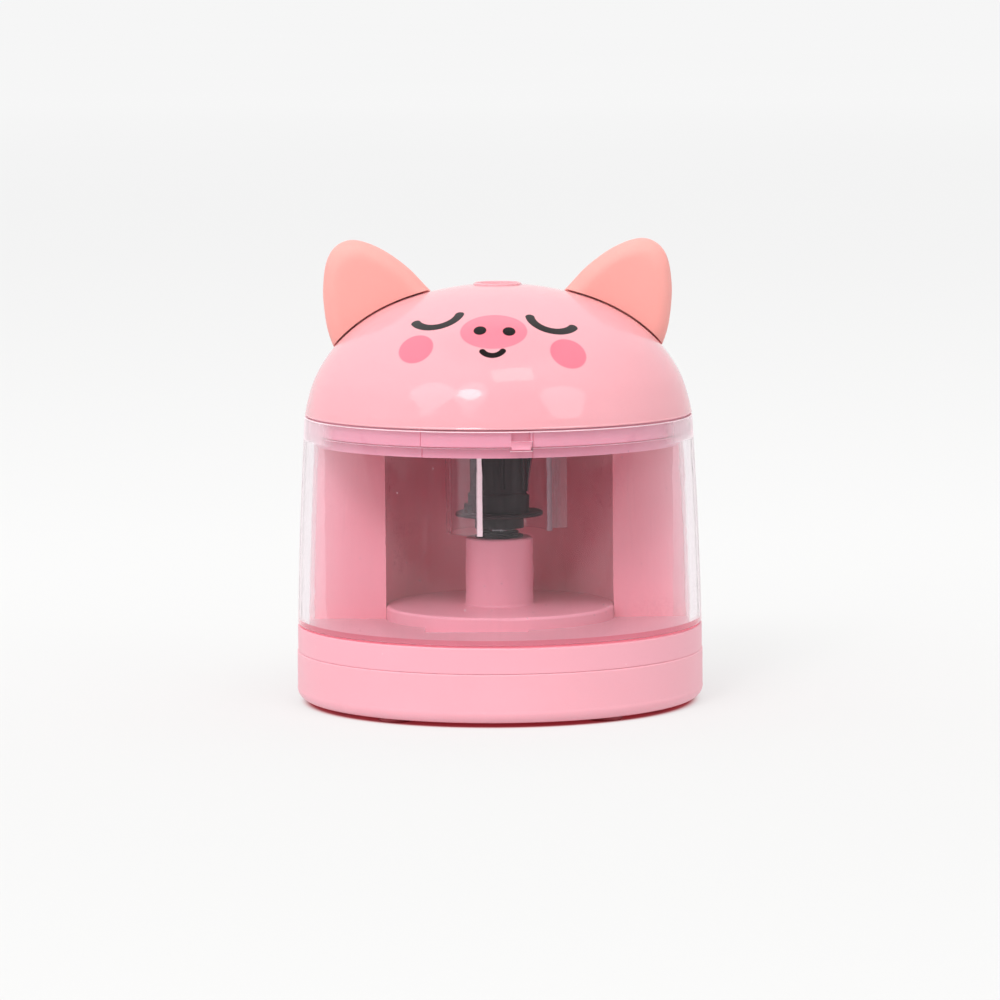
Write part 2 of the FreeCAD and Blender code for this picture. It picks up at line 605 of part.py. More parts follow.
# ------------------------------------------------------------------ shavings tank: C-shaped clear wall, thin floor, thin top band
tank_face = profile(
    (r_out(Z_TANK0, T_TANK), Z_TANK0), (r_out(Z_TANK0 + 0.5) - 0.35, Z_TANK0), ((r_out(Z_TANK0 + 0.5) - 0.1, Z_TANK0 + 0.1), (r_out(Z_TANK0 + 0.4), Z_TANK0 + 0.4)),
    skin_arc(Z_TANK0 + 0.4, Z_TANK1 - 0.15), (r_out(Z_TANK1) - 0.15, Z_TANK1), (R_BAND, Z_TANK1), (R_BAND, Z_LEDGE),
    (R_TANK_IN_TOP + 0.15, Z_LEDGE), (R_TANK_IN_TOP, Z_LEDGE - 0.15),
    ((r_out(37.5, T_TANK), 37.5), (r_out(Z_TANK0, T_TANK), Z_TANK0)),
)
Y_TANK = Y_PANEL - GAP
wall = tank_face.revolve(V(0, 0, 0), V(0, 0, -1), 180)
left_face = tank_face.copy()
left_face.rotate(V(0, 0, 0), V(0, 0, 1), 180)
ext_r = tank_face.extrude(V(0, Y_TANK, 0))
ext_l = left_face.extrude(V(0, Y_TANK, 0))
floor_disc = cyl(41.6, Z_TANK0, Z_TANK0 + T_TANK_FLOOR).common(box(-60, 60, -60, Y_FACE - GAP, 0, 80))
tank = fuse(wall, ext_r, ext_l, floor_disc)
tank_sub = [
    cyl(R_CHAMBER + GAP, 10, 30),
    box(-R_CHAMBER - GAP, R_CHAMBER + GAP, 0, 10, 10, 30),
    box(-15.6, 5.9, -R_CHAMBER - 2.2, 0, 10, 30),
]
# window in the top band in front of the latch nub
tank_sub.append(sector(60, A1 - 6.6, A1, 57.35, 59.4).common(tube(50, 38, 57, 60)))
tank = cut(tank, *tank_sub)
export("shavings_tank", tank)

# ------------------------------------------------------------------ clear guard round the cutter
guard_tube = tube(R_GUARD, R_GUARD - T_GUARD, Z_GUARD, Z_ROOF)
# open towards the front right, between 22 degrees left of the front and the right-hand side
gap_sector = sector(60, -90.0 - 21.5, -2.0, 30, 58.0)
guard = guard_tube.cut(gap_sector)
fin = box(R_GUARD - 0.4, 14.6, 0.0, 1.1, Z_GUARD + 0.6, Z_ROOF)
bead = box(-4.5, -3.55, -10.95, -9.6, Z_GUARD, Z_ROOF).common(cyl(R_GUARD, 0, 80))
guard = fuse(guard, fin)
guard = keep_solid(fuse(keep_solid(guard.cut(sector(60, -90.0 - 21.5, -2.0, 30, Z_ROOF + 1))), bead))
export("cutter_guard", guard)

# ------------------------------------------------------------------ cutter holder with conical bore, blade and blade screw
Z_CONE, CONE_TIP = 58.5, 42.5
holder = turned(
    (0, 37.1), (R_NECK, 37.1), (R_NECK, 39.8), (R_FLANGE - 0.25, 39.8), ((R_FLANGE, 40.2), (R_FLANGE - 0.25, 40.65)), (R_HOLDER_LOW, 40.65),
    (R_HOLDER_LOW, 44.5), (R_HOLDER, 44.9), (R_HOLDER, 59.5), (R_HOLDER - 0.4, 60.0), (0, 60.0),
)
clamp = tube(7.55, 5.5, 40.5, 42.3).common(sector(60, 168, 212, 40, 50))
holder = fuse(holder, clamp)
cone = turned((0, CONE_TIP), (0.6, CONE_TIP), (4.3, Z_CONE), (4.45, 60.7), (0, 60.7))
shaft_hole = cyl(R_SHAFT + 0.02, 37.2, 42.2)
flat_keep = box(1.62, 3, -3, 3, 30, 42.2)
holder = cut(holder, cone, cyl(4.6, 36.2, 39.6), shaft_hole.cut(flat_keep))
slope = math.atan2(4.3 - 0.6, Z_CONE - CONE_TIP)
MID = 0.62


def at_blade(shape, angle):
    """Local frame on the cone: X tangential, Y outward, Z up the slope."""
    shape.rotate(V(0, 0, 0), V(1, 0, 0), -math.degrees(slope))
    r = 0.6 + (4.3 - 0.6) * MID
    shape.translate(V(0, r, CONE_TIP + (Z_CONE - CONE_TIP) * MID))
    shape.rotate(V(0, 0, 0), V(0, 0, 1), angle - 90)
    return shape


BLADE_ANGLE = 62.0
seat = at_blade(box(-1.3, 12, -0.3, 9, -8.2, 3.55), BLADE_ANGLE)
holder = holder.cut(seat.common(cyl(20, 41.1, 56.0)))
# flutes down the outside of the holder
for a in range(0, 360, 45):
    if a in (45, 90):
        continue
    f = cyl(0.45, 45.8, 55.8, (R_HOLDER + 0.18) * math.cos(math.radians(a + 8)), (R_HOLDER + 0.18) * math.sin(math.radians(a + 8)))
    holder = holder.cut(f)
screw_local = spin(profile((0, -3.2), (0.4, -3.2), (0.85, -2.6), (0.85, 0.33), (1.75, 0.33), (1.75, 0.9), ((1.3, 1.3), (0.7, 1.4)), (0, 1.4)))
screw_local = screw_local.cut(box(-1.2, 1.2, -0.22, 0.22, 0.85, 2))
screw_local.rotate(V(0, 0, 0), V(1, 0, 0), -90)
screw_local.translate(V(3.1, 0, -1.6))
blade_screw = at_blade(screw_local, BLADE_ANGLE)
screw_hole = spin(profile((0, -3.4), (0.87, -3.4), (0.87, 3), (0, 3)))
screw_hole.rotate(V(0, 0, 0), V(1, 0, 0), -90)
screw_hole.translate(V(3.1, 0, -1.6))
screw_hole = at_blade(screw_hole, BLADE_ANGLE)
blade_body = box(0.0, 6.4, -0.29, 0.31, -7.6, 3.3)
bevel = box(-3, 0.0, 0, 2.0, -9, 9)
bevel.rotate(V(0, 0, 0), V(0, 0, 1), 24)
bevel.translate(V(0.0, -0.29, 0))
blade = at_blade(blade_body.cut(bevel), BLADE_ANGLE).cut(screw_hole)
holder = holder.cut(screw_hole)
export("cutter_holder", holder)
export("cutter_blade", blade)
export("blade_screw", blade_screw)

# ------------------------------------------------------------------ drive shaft with a flat, bushes and return spring
Z_SHAFT0 = 5.5
shaft = turned((0, Z_SHAFT0), (1.2, Z_SHAFT0), ((1.75, Z_SHAFT0 + 0.25), (R_SHAFT, Z_SHAFT0 + 0.8)), (R_SHAFT, 41.8), (R_SHAFT - 0.3, 42.1), (0, 42.1))
shaft = shaft.cut(box(1.6, 3, -3, 3, Z_SHAFT0 - 1.0, 20.5)).cut(box(1.6, 3, -3, 3, 37.8, 45))
export("drive_shaft", shaft)
upper_bush = turned((R_SHAFT + 0.05, 31.2), (3.2, 31.2), (3.24, 31.6), (3.24, Z_POST), (5.0, Z_POST), (5.0, Z_POST + 0.5), (4.3, Z_POST + 0.5),
                    (4.3, Z_POST + 1.05), (4.1, Z_POST + 1.25), (R_SHAFT + 0.25, Z_POST + 1.25), (R_SHAFT + 0.05, Z_POST + 1.05))
export("upper_bush", upper_bush)
lower_bush = turned((3.06, 15.3), (4.3, 15.3), (4.48, 15.5), (4.48, 19.6), (3.06, 19.6))
export("lower_bush", lower_bush)
export("return_spring", coil(3.0, 0.28, 36.4, 39.56, 3.25))

# ------------------------------------------------------------------ gear train in the base
th_c = math.atan2(gy, gx)
th_m = math.atan2(my - gy, mx - gx)
final_teeth = gear(N_FINAL, MOD, 7.4, 10.2, th_c)
web_cut = tube(13.4, 6.2, 7.2, 7.9).fuse(tube(13.4, 6.2, 9.6, 10.4))
final_gear = fuse(final_teeth.cut(web_cut), cyl(4.5, 7.0, 14.8), cyl(3.0, 5.9, 19.3))
holes = [cyl(1.9, 5, 12, 9.8 * math.cos(math.radians(a)), 9.8 * math.sin(math.radians(a))) for a in range(0, 360, 60)]
gear_bore = cyl(R_SHAFT + 0.05, 4, 21).cut(box(1.65, 3, -3, 3, 4, 21))
final_gear = cut(final_gear, gear_bore, *holes)
export("final_gear", final_gear)

compound = fuse(
    gear(N_COMP_SMALL, MOD, 7.2, 11.1, th_c + math.pi + math.pi / N_COMP_SMALL),
    gear(N_COMP_BIG, MOD, 11.0, 13.2, th_m), cyl(2.2, 6.95, 13.7))
compound = compound.cut(cyl(1.06, 5, 15))
for a in range(0, 360, 72):
    compound = compound.cut(cyl(1.5, 10.9, 14, 6.6 * math.cos(math.radians(a)), 6.6 * math.sin(math.radians(a))).cut(cyl(4.4, 10, 15)))
compound.translate(V(gx, gy, 0))
export("compound_gear", compound)
axle = turned((0, 5.3), (0.85, 5.3), (1.0, 5.5), (1.0, 16.0), (0.8, 16.2), (0, 16.2))
axle.translate(V(gx, gy, 0))
export("compound_axle", axle)

pinion = fuse(gear(N_PINION, MOD, 8.1, 13.2, th_m + math.pi + math.pi / N_PINION), cyl(2.1, 7.9, 13.2)).cut(cyl(1.0, 7, 15))
pinion.translate(V(mx, my, 0))
export("motor_pinion", pinion)

# ------------------------------------------------------------------ gearbox plate under the gears, with its screws
plate2d = fuse(cyl(16.0, 5.6, 6.7), cyl(6.0, 5.6, 6.7, gx, gy))
link = box(0, comp_r, -6.0, 6.0, 5.6, 6.7)
link.rotate(V(0, 0, 0), V(0, 0, 1), comp_ang)
plate2d = fuse(plate2d, link)
for x, y in PLATE_SCREWS:
    d = math.hypot(x, y)
    arm = box(0, d, -3.4, 3.4, 5.6, 6.7)
    arm.rotate(V(0, 0, 0), V(0, 0, 1), math.degrees(math.atan2(y, x)))
    plate2d = fuse(plate2d, arm, cyl(3.4, 5.6, 6.9, x, y))
rim_boss = tube(4.6, 3.1, 5.6, 6.9)
plate2d = fuse(plate2d, rim_boss)
sub = [cyl(3.1, 5, 8), cyl(1.02, 5, 8, gx, gy)]
for x, y in PLATE_SCREWS:
    sub.append(cyl(1.1, 5, 8, x, y))
for a in (70, 115, 160, 205, 250, 295):
    sub.append(cyl(3.0, 5, 8, 10.6 * math.cos(math.radians(a)), 10.6 * math.sin(math.radians(a))))
gearbox_plate = cut(plate2d, *sub)
export("gearbox_plate", gearbox_plate)
export("gearbox_screws", group(*[pan_screw(x, y, 5.55, 6.9, 1.8, 1.3, 0.9) for x, y in PLATE_SCREWS]), single=False)

# ------------------------------------------------------------------ motor
can = motor_shape(Z_MOTOR, Z_MOTOR + 22.4)
can = fuse(can, cyl(3.05, Z_MOTOR - 1.6, Z_MOTOR + 0.2, mx, my)).cut(cyl(1.06, 10, 45, mx, my))
inner = motor_shape(Z_MOTOR + 0.8, Z_MOTOR + 22.5, -0.8)
can = can.cut(inner)
edges = [e for e in can.Edges if abs(e.BoundBox.ZMin - Z_MOTOR) < 1e-3 and abs(e.BoundBox.ZMax - Z_MOTOR) < 1e-3 and e.BoundBox.DiagonalLength > 12]
try:
    can2 = can.makeFillet(0.7, edges)
    if can2.isValid():
        can = can2
except Exception as err:
    print("NOTE motor can fillet", err)
export("motor_can", can)
cap = fuse(motor_shape(Z_MOTOR + 22.4, Z_MOTOR + 24.2), motor_shape(Z_MOTOR + 20.6, Z_MOTOR + 22.5, -0.85), cyl(3.4, Z_MOTOR + 24.1, Z_MOTOR + MOTOR_LEN - 0.1, mx, my))
cap = cap.cut(cyl(1.06, 30, 45, mx, my))
tang = (-math.sin(math.radians(MOTOR_ANGLE)), math.cos(math.radians(MOTOR_ANGLE)))
TERMS = [(mx + s * 6.2 * tang[0], my + s * 6.2 * tang[1]) for s in (-1, 1)]
for x, y in TERMS:
    t = box(-1.3, 1.3, -0.25, 0.25, 30, 45)
    t.rotate(V(0, 0, 0), V(0, 0, 1), MOTOR_ANGLE)
    t.translate(V(x, y, 0))
    cap = cap.cut(t)
export("motor_end_cap", cap)
terms = []
for x, y in TERMS:
    t = box(-1.25, 1.25, -0.2, 0.2, Z_MOTOR + 21.5, Z_MOTOR + 27.6).cut(cyl(0.5, 0, 1).rotated(V(0, 0, 0), V(1, 0, 0), 90).translated(V(0, 0.5, Z_MOTOR + 26.3)))
    t.rotate(V(0, 0, 0), V(0, 0, 1), MOTOR_ANGLE)
    t.translate(V(x, y, 0))
    terms.append(t)
export("motor_terminals", group(*terms), single=False)
mshaft = turned((0, 7.6), (0.8, 7.6), (1.0, 7.8), (1.0, Z_MOTOR + MOTOR_LEN - 0.3), (0, Z_MOTOR + MOTOR_LEN - 0.3))
rotor = cyl(5.6, Z_MOTOR + 3.4, Z_MOTOR + 19.0).cut(cyl(1.0, 0, 60))
slots = []
for a in (0, 120, 240):
    sl = box(1.9, 7, -0.9, 0.9, Z_MOTOR + 3, Z_MOTOR + 20)
    sl.rotate(V(0, 0, 0), V(0, 0, 1), a)
    slots.append(sl)
rotor = cut(rotor, *slots)
rotor = fuse(rotor, mshaft)
rotor.translate(V(mx, my, 0))
export("motor_shaft", rotor)

# ------------------------------------------------------------------ start switch under the shaft
sw = fuse(box(-21.5, 3.4, -3.4, 3.4, 2.8, 2.95), box(-21.5, -16.0, -3.4, 3.4, 2.8, 4.95))
sw = sw.cut(box(-14.9, -13.0, -2.4, 2.4, 2.7, 3.0))
export("switch_base", sw)
fixed = fuse(box(-14.6, 2.6, -1.8, 1.8, 2.97, 3.15), cyl(1.1, 3.1, 3.38))
export("switch_fixed_leaf", fixed)
moving = fuse(box(-16.0, 2.6, -1.8, 1.8, 5.0, 5.2), cyl(1.1, 4.72, 5.05), box(-16.0, -15.9, -1.8, 1.8, 5.0, 5.2))
export("switch_moving_leaf", moving)
clip = fuse(box(-21.0, -16.25, -2.6, 2.6, 4.95, 5.15), box(-21.0, -19.8, -2.6, 2.6, 4.95, 5.5))
export("switch_clip", clip)

# ------------------------------------------------------------------ cells and their contacts
def cell(x, nub_up):
    z0, z1 = Z_CELL, Z_CELL + CELL_LEN
    c = turned((0, z0), (CELL_R - 0.5, z0), ((CELL_R - 0.1, z0 + 0.15), (CELL_R, z0 + 0.6)), (CELL_R, z1 - 0.6), ((CELL_R - 0.1, z1 - 0.15), (CELL_R - 0.5, z1)), (0, z1))
    n = cyl(2.7, z1 - 0.1, z1 + 1.0) if nub_up else cyl(2.7, z0 - 1.0, z0 + 0.1)
    c = fuse(c, n)
    c.translate(V(x, CELL_Y, 0))
    return c


export("aa_cell_left", cell(-CELL_X, True))
export("aa_cell_right", cell(CELL_X, False))
bridge = box(-12.6, 12.6, CELL_Y - 4.4, CELL_Y + 4.4, 2.65, 2.95)
bump_r = cyl(2.2, 2.8, 3.86, CELL_X, CELL_Y)
bridge = fuse(bridge, bump_r)
spring_l = coil(4.6, 0.27, 2.85, 4.84, 2.0, -CELL_X, CELL_Y)
bridge_all = fuse(bridge, keep_solid(spring_l)) if spring_l.Solids else bridge
export("bridge_contact", bridge_all)
pos = fuse(box(-CELL_X - 4, -CELL_X + 4, CELL_Y - 3.6, CELL_Y + 3.6, 56.08, 56.38), cyl(2.2, 55.44, 56.2, -CELL_X, CELL_Y))
export("positive_contact", pos)
neg = box(CELL_X - 4.9, CELL_X + 4.9, CELL_Y - 4.6, CELL_Y + 4.6, 56.08, 56.38)
# sprung tongue bent down from the plate onto the flat end of the cell
tongue = Part.Face(Part.makePolygon([V(CELL_X + a, CELL_Y - 2.5, b) for a, b in (
    (-4.4, 56.2), (-0.7, 54.46), (0.9, 54.46), (3.6, 55.6), (3.6, 55.88), (0.84, 54.74), (-0.6, 54.74), (-3.5, 56.2), (-4.4, 56.2))])).extrude(V(0, 5.0, 0))
neg = fuse(neg, tongue)
export("negative_contact", neg)

# ------------------------------------------------------------------ remaining screws
export("base_screws", group(*[pan_screw(x, y, 5.0, 9.0, 2.4, 1.6, 1.4) for x, y in BASE_SCREWS]), single=False)
export("housing_screws", group(*[pan_screw(x, y, 15.2, 9.0, 2.3, 1.5, 1.25) for x, y in HOUSING_SCREWS]), single=False)
export("collar_screws", group(*[pan_screw(x, y, Z_COLLAR, 9.0, 2.3, 1.5, 1.25, up=False) for x, y in HOUSING_SCREWS]), single=False)
export("dome_screws", group(*[pan_screw(x, y, Z_ROOF, 9.0, 2.3, 1.4, 1.25) for x, y in DOME_SCREWS]), single=False)

print(len(done), "nodes")
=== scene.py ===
import math
import bpy
import bmesh
from mathutils import Matrix, Vector


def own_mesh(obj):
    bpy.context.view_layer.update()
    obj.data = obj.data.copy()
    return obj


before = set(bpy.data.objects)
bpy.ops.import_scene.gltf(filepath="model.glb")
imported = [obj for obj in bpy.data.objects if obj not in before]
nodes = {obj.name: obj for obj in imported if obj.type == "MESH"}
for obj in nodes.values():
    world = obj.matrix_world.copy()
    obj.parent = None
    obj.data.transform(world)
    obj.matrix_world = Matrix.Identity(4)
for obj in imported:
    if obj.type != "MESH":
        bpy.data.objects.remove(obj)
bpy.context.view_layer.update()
sc = bpy.context.scene
sc.view_settings.view_transform = "Standard"
sc.view_settings.look = "None"
sc.view_settings.exposure = 0.0
sc.view_settings.gamma = 1.0
sc.cycles.use_denoising = True
sc.cycles.max_bounces = 24
sc.cycles.transmission_bounces = 24
sc.cycles.transparent_max_bounces = 24
sc.cycles.diffuse_bounces = 6
sc.cycles.glossy_bounces = 8


def srgb(r, g, b):
    out = []
    for v in (r, g, b):
        v = v / 255.0
        out.append(v / 12.92 if v <= 0.04045 else ((v + 0.055) / 1.055) ** 2.4)
    return tuple(out) + (1.0,)


# ---------------------------------------------------------------- node helpers
class Tree:
    """Small helper that builds shader nodes; every value may be a number or a socket."""

    def __init__(self, name):
        self.mat = bpy.data.materials.new(name)
        self.mat.use_nodes = True
        self.nt = self.mat.node_tree
        self.nt.nodes.clear()
        self.out = self.nt.nodes.new("ShaderNodeOutputMaterial")
        self.obj = None

    def new(self, kind, _inputs=None, **attrs):
        n = self.nt.nodes.new(kind)
        for k, v in attrs.items():
            setattr(n, k, v)
        for k, v in (_inputs or {}).items():
            self.put(n.inputs[k], v)
        return n

    def put(self, sock, v):
        if isinstance(v, bpy.types.NodeSocket):
            self.nt.links.new(v, sock)
        else:
            sock.default_value = v

    def m(self, op, a, b=0.0, c=0.0, clamp=False):
        n = self.new("ShaderNodeMath", operation=op, use_clamp=clamp)
        for i, v in enumerate((a, b, c)):
            if i < len(n.inputs):
                self.put(n.inputs[i], v)
        return n.outputs[0]

    def add(self, a, b):
        return self.m("ADD", a, b)

    def sub(self, a, b):
        return self.m("SUBTRACT", a, b)

    def mul(self, a, b):
        return self.m("MULTIPLY", a, b)

    def coords(self):
        if self.obj is None:
            self.obj = self.new("ShaderNodeTexCoord").outputs["Object"]
        return self.obj

    def xyz(self):
        s = self.new("ShaderNodeSeparateXYZ", {0: self.coords()})
        return s.outputs[0], s.outputs[1], s.outputs[2]

    def noise(self, scale, detail=2.0, rough=0.5, vec=None, distortion=0.0):
        n = self.new("ShaderNodeTexNoise", {"Vector": vec or self.coords(), "Scale": scale, "Detail": detail, "Roughness": rough, "Distortion": distortion})
        return n.outputs["Fac"]

    def scaled(self, x, y, z, vec=None):
        n = self.new("ShaderNodeMapping", {"Vector": vec or self.coords(), "Scale": (x, y, z)})
        return n.outputs[0]

    def ramp(self, v, lo, hi, a=0.0, b=1.0, smooth=True):
        n = self.new("ShaderNodeMapRange", {0: v, 1: lo, 2: hi, 3: a, 4: b})
        n.interpolation_type = "SMOOTHSTEP" if smooth else "LINEAR"
        return n.outputs[0]

    def mix(self, fac, a, b):
        n = self.new("ShaderNodeMix", data_type="RGBA", blend_type="MIX")
        self.put(n.inputs[0], fac)
        self.put(n.inputs[6], a)
        self.put(n.inputs[7], b)
        return n.outputs[2]

    def shade(self, col, value):
        """col times a grey value"""
        n = self.new("ShaderNodeMix", data_type="RGBA", blend_type="MULTIPLY")
        self.put(n.inputs[0], 1.0)
        self.put(n.inputs[6], col)
        c = self.new("ShaderNodeCombineColor", {0: value, 1: value, 2: value})
        self.put(n.inputs[7], c.outputs[0])
        return n.outputs[2]

    def bump(self, height, strength, distance):
        n = self.new("ShaderNodeBump", {"Height": height, "Strength": strength, "Distance": distance})
        return n.outputs[0]

    def principled(self, **inputs):
        names = {k.replace("_", " "): v for k, v in inputs.items()}
        n = self.new("ShaderNodeBsdfPrincipled", names)
        self.nt.links.new(n.outputs[0], self.out.inputs[0])
        return n


def plastic(name, color, rough=0.35, grain=0.06, grain_scale=2600.0, vary=0.03, dust=0.0, sss=0.0, print_and_painted_shade=None, spec=0.5, warm=None, painted_glow=0.0, rim=None):
    """Moulded plastic: slight cloudiness in the colour, fine moulded grain, uneven gloss, and a little dust where
    wanted.
    The glow argument paints light: a deep pink emission in the plastic's own narrow grooves and seams, where shade
    would fall, and rim paints the same light on the ledge that another part stands on."""
    t = Tree(name)
    cloud = t.noise(38.0, 3.0, 0.55)
    fine = t.noise(grain_scale, 2.0, 0.6)
    streak = t.noise(9.0, 2.0, 0.5, vec=t.scaled(1.0, 1.0, 6.0))
    k = t.add(t.ramp(cloud, 0.25, 0.75, 1.0 - vary, 1.0 + vary * 0.6), t.ramp(streak, 0.3, 0.7, -vary * 0.4, vary * 0.4))
    k = t.add(k, t.ramp(fine, 0.2, 0.8, -vary * 0.35, vary * 0.35))
    col = t.shade(color, k)
    if warm is not None:
        col = t.mix(t.mul(t.ramp(t.noise(22.0, 2.0), 0.35, 0.75), 0.5), col, warm)
    r = t.add(t.ramp(t.noise(70.0, 4.0, 0.6), 0.2, 0.8, rough - 0.035, rough + 0.035), t.ramp(fine, 0.2, 0.8, -0.02, 0.02))
    if dust > 0:
        v = t.new("ShaderNodeTexVoronoi", {"Vector": t.coords(), "Scale": 900.0, "Randomness": 1.0})
        pick = t.ramp(t.noise(310.0, 1.0), 0.66, 0.70)
        speck = t.mul(t.ramp(v.outputs["Distance"], 0.10, 0.17, 1.0, 0.0), pick)
        col = t.mix(t.mul(speck, dust), col, srgb(246, 214, 214))
        r = t.add(r, t.mul(speck, 0.3))
    # lays the print, and on the front panels a painted shade, over the colour
    if print_and_painted_shade is not None:
        col, r = print_and_painted_shade(t, col, r)
    b = t.principled(Base_Color=col, Roughness=r)
    b.inputs["Specular IOR Level"].default_value = spec
    # painted light: a deep pink emission, strongest where ambient occlusion finds a narrow groove or seam, lights what
    # would lie in shade
    if painted_glow > 0:
        ao = t.new("ShaderNodeAmbientOcclusion", {"Distance": 0.0006}, samples=6, only_local=True).outputs["AO"]
        b.inputs["Emission Color"].default_value = (0.80, 0.20, 0.28, 1.0)
        light = t.ramp(ao, 0.10, 0.60, painted_glow, 0.0)
        # the same painted light on a ring of the ledge that another part stands on
        if rim is not None:
            x, y, z = t.xyz()
            rad = t.m("SQRT", t.add(t.mul(x, x), t.mul(y, y)))
            k = t.mul(t.ramp(z, rim[0] - 0.0004, rim[0] - 0.0001), t.mul(t.ramp(rad, rim[1], rim[1] + 0.0003), t.ramp(rad, rim[2], rim[2] + 0.0003, 1.0, 0.0)))
            light = t.m("MAXIMUM", light, t.mul(k, rim[3]))
        t.put(b.inputs["Emission Strength"], light)
    if sss > 0:
        b.inputs["Subsurface Weight"].default_value = sss
        b.inputs["Subsurface Radius"].default_value = (0.0022, 0.0009, 0.0010)
        b.inputs["Subsurface Scale"].default_value = 1.0
    if grain > 0:
        t.put(b.inputs["Normal"], t.bump(fine, grain, 0.0002))
    return t.mat


def metal(name, color, rough=0.3, axis="z", brushed=0.5, dark=0.0):
    """Drawn or turned metal with fine lines along one axis and a little uneven tarnish."""
    t = Tree(name)
    s = {"x": (8.0, 900.0, 900.0), "y": (900.0, 8.0, 900.0), "z": (900.0, 900.0, 8.0), "round": (900.0, 900.0, 900.0)}[axis]
    lines = t.noise(3.0, 2.0, 0.6, vec=t.scaled(*s))
    cloud = t.noise(160.0, 3.0, 0.6)
    col = t.shade(color, t.add(t.ramp(cloud, 0.25, 0.75, 0.86 - dark, 1.04), t.ramp(lines, 0.2, 0.8, -0.05, 0.05)))
    r = t.add(t.ramp(lines, 0.2, 0.8, rough - 0.07, rough + 0.07), t.ramp(cloud, 0.2, 0.8, -0.04, 0.06))
    b = t.principled(Base_Color=col, Roughness=r, Metallic=1.0)
    t.put(b.inputs["Normal"], t.bump(lines, 0.12 * brushed, 0.0001))
    return t.mat


